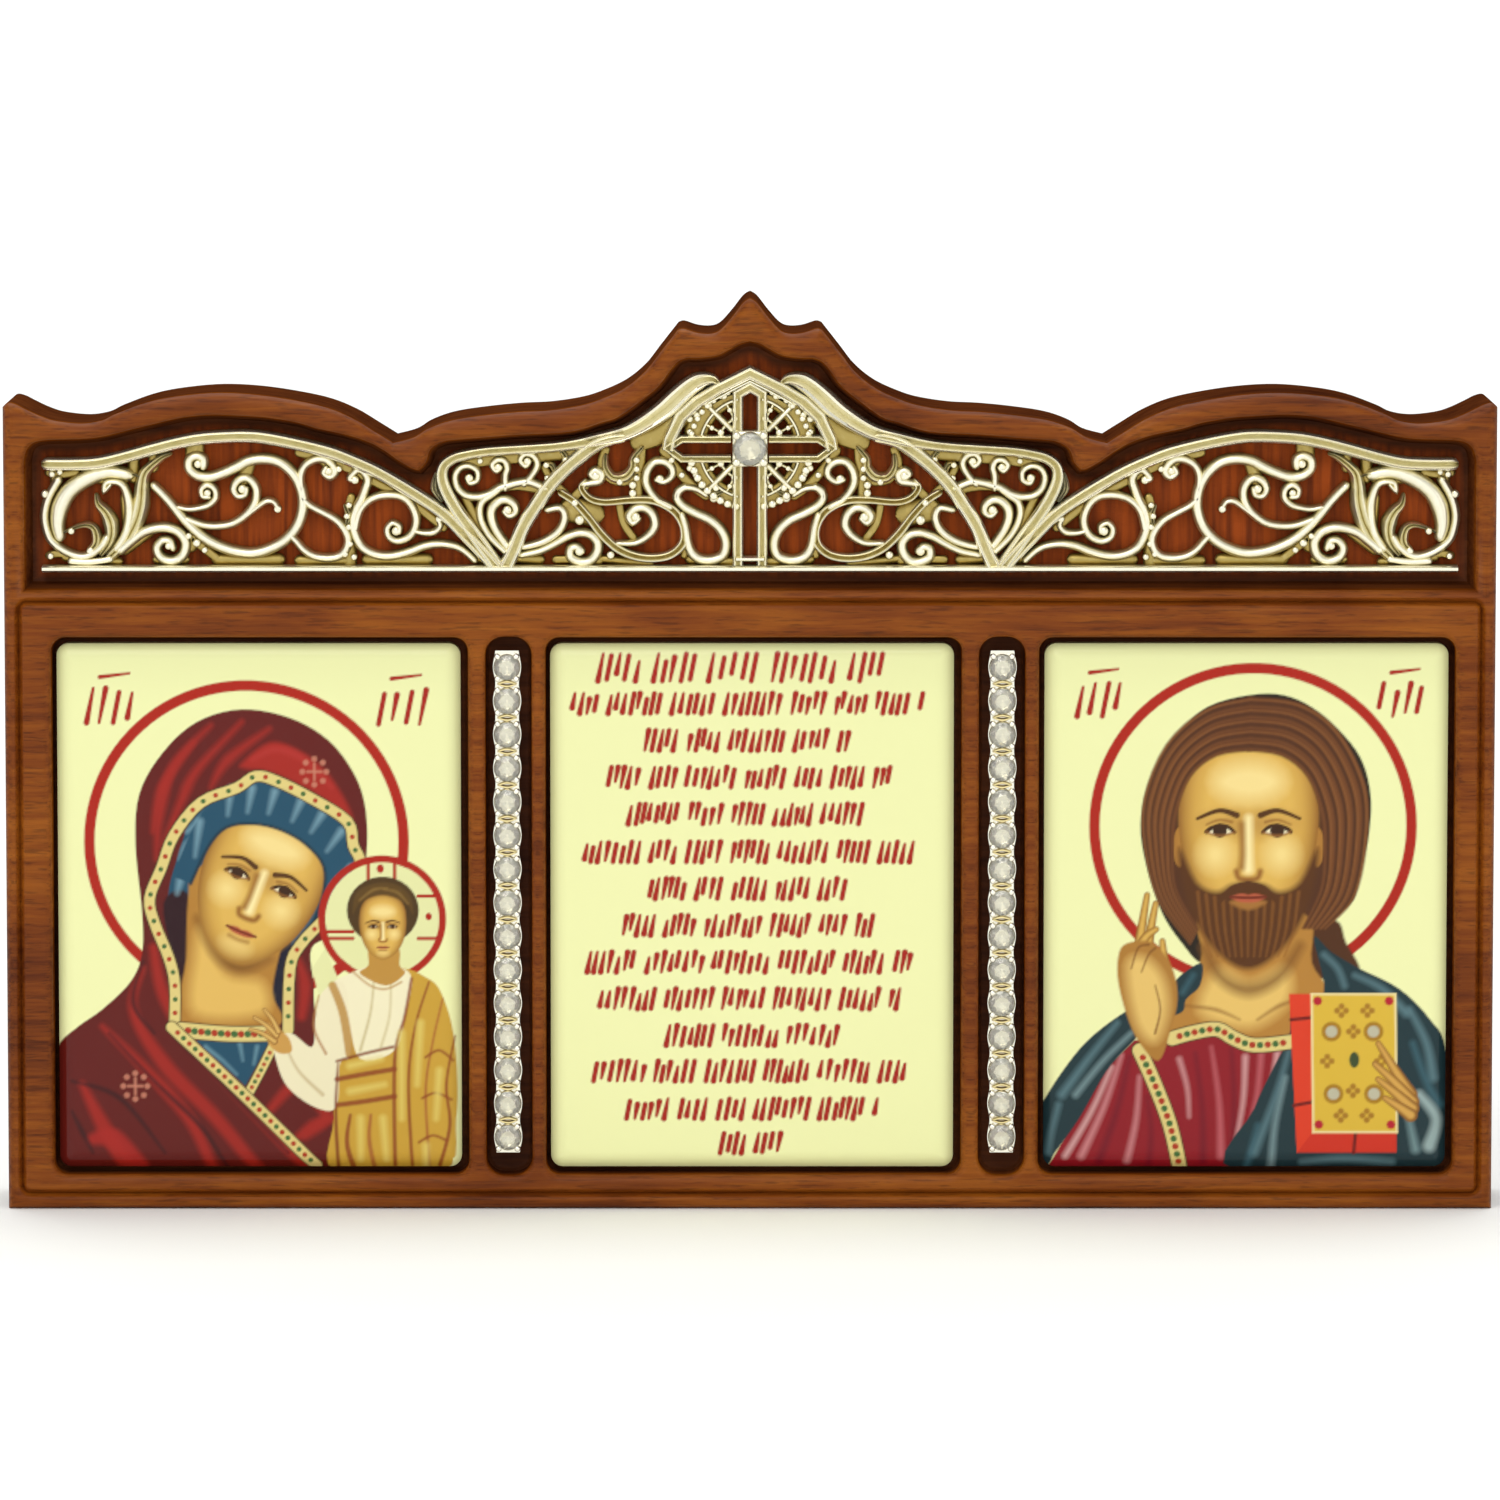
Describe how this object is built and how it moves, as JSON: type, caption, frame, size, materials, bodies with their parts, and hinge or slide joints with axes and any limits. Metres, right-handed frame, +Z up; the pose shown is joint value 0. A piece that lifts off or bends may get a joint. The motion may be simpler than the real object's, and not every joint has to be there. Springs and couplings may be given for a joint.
{
  "type": "small wooden panel icon with a metal crest",
  "caption": "Small carved wooden panel icon with a pierced silver crest, domed picture plaques and strips of clear stones, standing on its flat foot.",
  "frame": {"origin": "under the middle of the flat foot, midway between front and back", "axes": "+Z up, the front faces -Y, +X to the right as seen from the front"},
  "size_m": [0.093, 0.009, 0.0571],
  "materials": {
    "board": "stained and varnished hardwood",
    "crest_metal": "cast silver coloured alloy, bright ribs over satin web",
    "setting_metal": "pale gilt stone setting",
    "plaque": "glossy domed print on cream ground",
    "clear_stone": "clear faceted crystal"
  },
  "bodies": {
    "root": {"board": "board", "silver_crest": "crest_metal", "cross_stone": "clear_stone", "plaque_left": "plaque", "plaque_centre": "plaque", "plaque_right": "plaque", "stone_strip_left": "setting_metal", "stone_strip_right": "setting_metal", "stone_left_01": "clear_stone", "stone_left_02": "clear_stone", "stone_left_03": "clear_stone", "stone_left_04": "clear_stone", "stone_left_05": "clear_stone", "stone_left_06": "clear_stone", "stone_left_07": "clear_stone", "stone_left_08": "clear_stone", "stone_left_09": "clear_stone", "stone_left_10": "clear_stone", "stone_left_11": "clear_stone", "stone_left_12": "clear_stone", "stone_left_13": "clear_stone", "stone_left_14": "clear_stone", "stone_left_15": "clear_stone", "stone_right_01": "clear_stone", "stone_right_02": "clear_stone", "stone_right_03": "clear_stone", "stone_right_04": "clear_stone", "stone_right_05": "clear_stone", "stone_right_06": "clear_stone", "stone_right_07": "clear_stone", "stone_right_08": "clear_stone", "stone_right_09": "clear_stone", "stone_right_10": "clear_stone", "stone_right_11": "clear_stone", "stone_right_12": "clear_stone", "stone_right_13": "clear_stone", "stone_right_14": "clear_stone", "stone_right_15": "clear_stone"}
  },
  "joints": []
}
